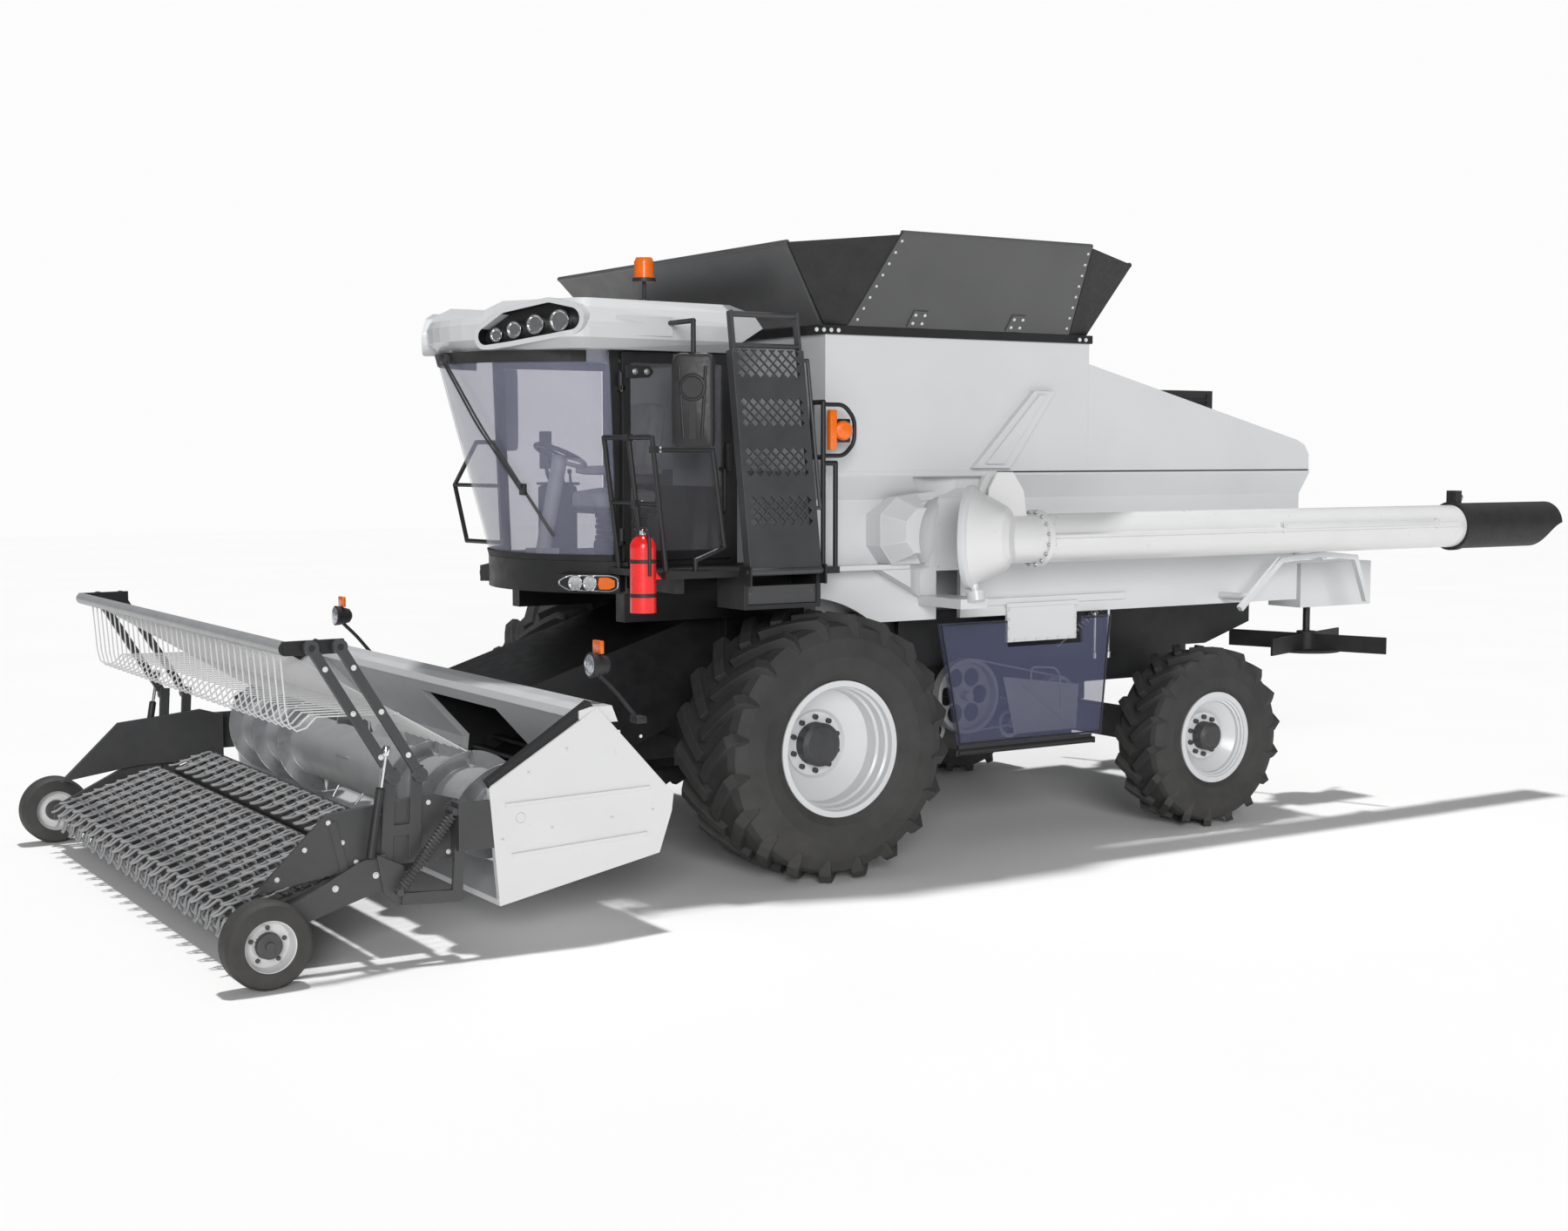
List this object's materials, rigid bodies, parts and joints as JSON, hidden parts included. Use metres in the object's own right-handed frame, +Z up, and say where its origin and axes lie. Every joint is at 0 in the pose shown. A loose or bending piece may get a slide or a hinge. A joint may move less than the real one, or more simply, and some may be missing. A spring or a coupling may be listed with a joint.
{
  "type": "combine harvester",
  "caption": "Self-propelled combine harvester with a windrow pickup header, flared grain tank, glazed cab, folding ladder and side-swinging unloading auger.",
  "frame": {"origin": "centre of the machine's outline, on the ground", "axes": "+X forward, +Y to the machine's left, +Z up"},
  "size_m": [11.795, 5.12, 4.4015],
  "materials": {
    "light_paint": "gloss light grey paint",
    "dark_paint": "satin black paint",
    "grey_paint": "grey paint",
    "flap_grey": "dark grey sheet",
    "tyre": "black rubber",
    "rubber": "black rubber",
    "cast": "cast iron, painted",
    "glass": "tinted glass",
    "shield": "blue tinted polycarbonate",
    "fabric": "seat cloth",
    "plastic": "black plastic",
    "lens": "clear lens",
    "amber": "amber lens",
    "red": "red paint",
    "steel": "bright steel",
    "chrome": "chrome rod"
  },
  "bodies": {
    "machine": {"main_frame": "dark_paint", "separator": "dark_paint", "straw_hood": "dark_paint", "front_axle": "cast", "rear_axle": "cast", "engine": "cast", "drive_pulleys": "grey_paint", "grain_tank": "light_paint", "tank_rail": "dark_paint", "tank_flaps": "flap_grey", "flap_corners": "rubber", "panel_left": "light_paint", "panel_right": "light_paint", "engine_hood": "light_paint", "air_intake": "plastic", "auger_boot": "light_paint", "auger_rest": "light_paint", "cab_base": "dark_paint", "cab_frame": "dark_paint", "cab_glass": "glass", "cab_roof": "light_paint", "roof_lamps": "lens", "seat": "fabric", "steering": "plastic", "platform": "dark_paint", "handrails": "dark_paint", "mirrors": "plastic", "beacon": "amber", "extinguisher": "red", "spreader_drives": "light_paint"},
    "front_wheel_left": {"front_tyre_left": "tyre", "front_rim_left": "light_paint"},
    "front_wheel_right": {"front_tyre_right": "tyre", "front_rim_right": "light_paint"},
    "steer_knuckle_left": {"knuckle_left": "cast"},
    "steer_knuckle_right": {"knuckle_right": "cast"},
    "rear_wheel_left": {"rear_tyre_left": "tyre", "rear_rim_left": "light_paint"},
    "rear_wheel_right": {"rear_tyre_right": "tyre", "rear_rim_right": "light_paint"},
    "steer_tie_rod": {"tie_rod": "steel"},
    "header": {"feeder_house": "dark_paint", "header_trough": "light_paint", "pickup_frame": "grey_paint", "pickup_belts": "rubber"},
    "lift_cylinders": {"lift_barrels": "dark_paint"},
    "lift_cylinder_rods": {"lift_rods": "chrome"},
    "cross_auger": {"header_auger": "steel"},
    "gauge_left": {"gauge_wheel_left": "tyre"},
    "gauge_right": {"gauge_wheel_right": "tyre"},
    "guard_arms_front": {"guard_front_arms": "grey_paint"},
    "guard_arms_rear": {"guard_rear_arms": "grey_paint"},
    "guard": {"windguard": "dark_paint"},
    "unloading_auger": {"unload_tube": "light_paint", "unload_spout": "rubber"},
    "door": {"cab_door": "dark_paint"},
    "folding_ladder": {"ladder": "grey_paint"},
    "belt_shield": {"drive_shield": "shield"},
    "straw_spreader_left": {"spreader_left": "rubber"},
    "straw_spreader_right": {"spreader_right": "rubber"}
  },
  "joints": [
    {"name": "front_wheel_left_spin", "type": "hinge", "parent": "machine", "child": "front_wheel_left", "pos_m": [1.5025, 1.58, 0.915], "axis": [0, 1, 0], "continuous": true},
    {"name": "front_wheel_right_spin", "type": "hinge", "parent": "machine", "child": "front_wheel_right", "pos_m": [1.5025, -1.58, 0.915], "axis": [0, 1, 0], "continuous": true},
    {"name": "rear_steer_left", "type": "hinge", "parent": "machine", "child": "steer_knuckle_left", "pos_m": [-2.1275, 1.13, 0.7], "axis": [0, 0, 1], "range_deg": [-30, 30]},
    {"name": "rear_wheel_left_spin", "type": "hinge", "parent": "steer_knuckle_left", "child": "rear_wheel_left", "pos_m": [-2.1275, 1.58, 0.7], "axis": [0, 1, 0], "continuous": true},
    {"name": "rear_steer_right", "type": "hinge", "parent": "machine", "child": "steer_knuckle_right", "pos_m": [-2.1275, -1.13, 0.7], "axis": [0, 0, 1], "range_deg": [-30, 30]},
    {"name": "rear_wheel_right_spin", "type": "hinge", "parent": "steer_knuckle_right", "child": "rear_wheel_right", "pos_m": [-2.1275, -1.58, 0.7], "axis": [0, 1, 0], "continuous": true},
    {"name": "tie_rod_slide", "type": "slide", "parent": "machine", "child": "steer_tie_rod", "axis": [0, 1, 0], "range_m": [-0.127, 0.127]},
    {"name": "header_lift", "type": "hinge", "parent": "machine", "child": "header", "pos_m": [1.6525, 0, 1.64], "axis": [0, -1, 0], "range_deg": [0, 16]},
    {"name": "lift_cylinder_tilt", "type": "hinge", "parent": "machine", "child": "lift_cylinders", "pos_m": [1.8525, 0, 0.62], "axis": [0, -1, 0], "range_deg": [0, 17.57]},
    {"name": "lift_rod_slide", "type": "slide", "parent": "lift_cylinders", "child": "lift_cylinder_rods", "axis": [0.9984, 0, -0.0571], "range_m": [0, 0.2909]},
    {"name": "cross_auger_spin", "type": "hinge", "parent": "header", "child": "cross_auger", "pos_m": [4.1025, 0, 0.78], "axis": [0, 1, 0], "continuous": true},
    {"name": "gauge_wheel_left_spin", "type": "hinge", "parent": "header", "child": "gauge_left", "pos_m": [5.6525, 2.465, 0.245], "axis": [0, 1, 0], "continuous": true},
    {"name": "gauge_wheel_right_spin", "type": "hinge", "parent": "header", "child": "gauge_right", "pos_m": [5.6525, -2.465, 0.245], "axis": [0, 1, 0], "continuous": true},
    {"name": "windguard_lift", "type": "hinge", "parent": "header", "child": "guard_arms_front", "pos_m": [4.8575, 0, 1.075], "axis": [0, -1, 0], "range_deg": [0, 30]},
    {"name": "windguard_rear_arm", "type": "hinge", "parent": "header", "child": "guard_arms_rear", "pos_m": [4.6925, 0, 1.075], "axis": [0, -1, 0], "range_deg": [0, 30]},
    {"name": "windguard_level", "type": "hinge", "parent": "guard_arms_front", "child": "guard", "pos_m": [5.3225, 0, 1.835], "axis": [0, -1, 0], "range_deg": [-30, 0]},
    {"name": "unload_swing", "type": "hinge", "parent": "machine", "child": "unloading_auger", "pos_m": [0.3845, 1.85, 2.317], "axis": [0, 0.2544, -0.9671], "range_deg": [0, 96]},
    {"name": "cab_door_hinge", "type": "hinge", "parent": "machine", "child": "door", "pos_m": [2.6605, 0.98, 2.9], "axis": [0, 0, -1], "range_deg": [0, 40]},
    {"name": "ladder_fold", "type": "hinge", "parent": "machine", "child": "folding_ladder", "pos_m": [1.9025, 1.88, 2.13], "axis": [-1, 0, 0], "range_deg": [0, 170]},
    {"name": "shield_hinge", "type": "hinge", "parent": "machine", "child": "belt_shield", "pos_m": [-0.4975, 1.495, 0.73], "axis": [-1, 0, 0], "range_deg": [0, 85]},
    {"name": "spreader_left_spin", "type": "hinge", "parent": "machine", "child": "straw_spreader_left", "pos_m": [-3.8475, 1.1, 1.3], "axis": [0, 0, 1], "continuous": true},
    {"name": "spreader_right_spin", "type": "hinge", "parent": "machine", "child": "straw_spreader_right", "pos_m": [-3.8475, -1.1, 1.3], "axis": [0, 0, 1], "continuous": true}
  ],
  "couplings": [
    {"joint": "rear_steer_right", "follows": "rear_steer_left", "ratio": 1},
    {"joint": "tie_rod_slide", "follows": "rear_steer_left", "m_per_rad": -0.24},
    {"joint": "lift_cylinder_tilt", "follows": "header_lift", "ratio": 1.0857},
    {"joint": "lift_rod_slide", "follows": "header_lift", "m_per_rad": 1.031},
    {"joint": "windguard_rear_arm", "follows": "windguard_lift", "ratio": 1},
    {"joint": "windguard_level", "follows": "windguard_lift", "ratio": -1}
  ]
}
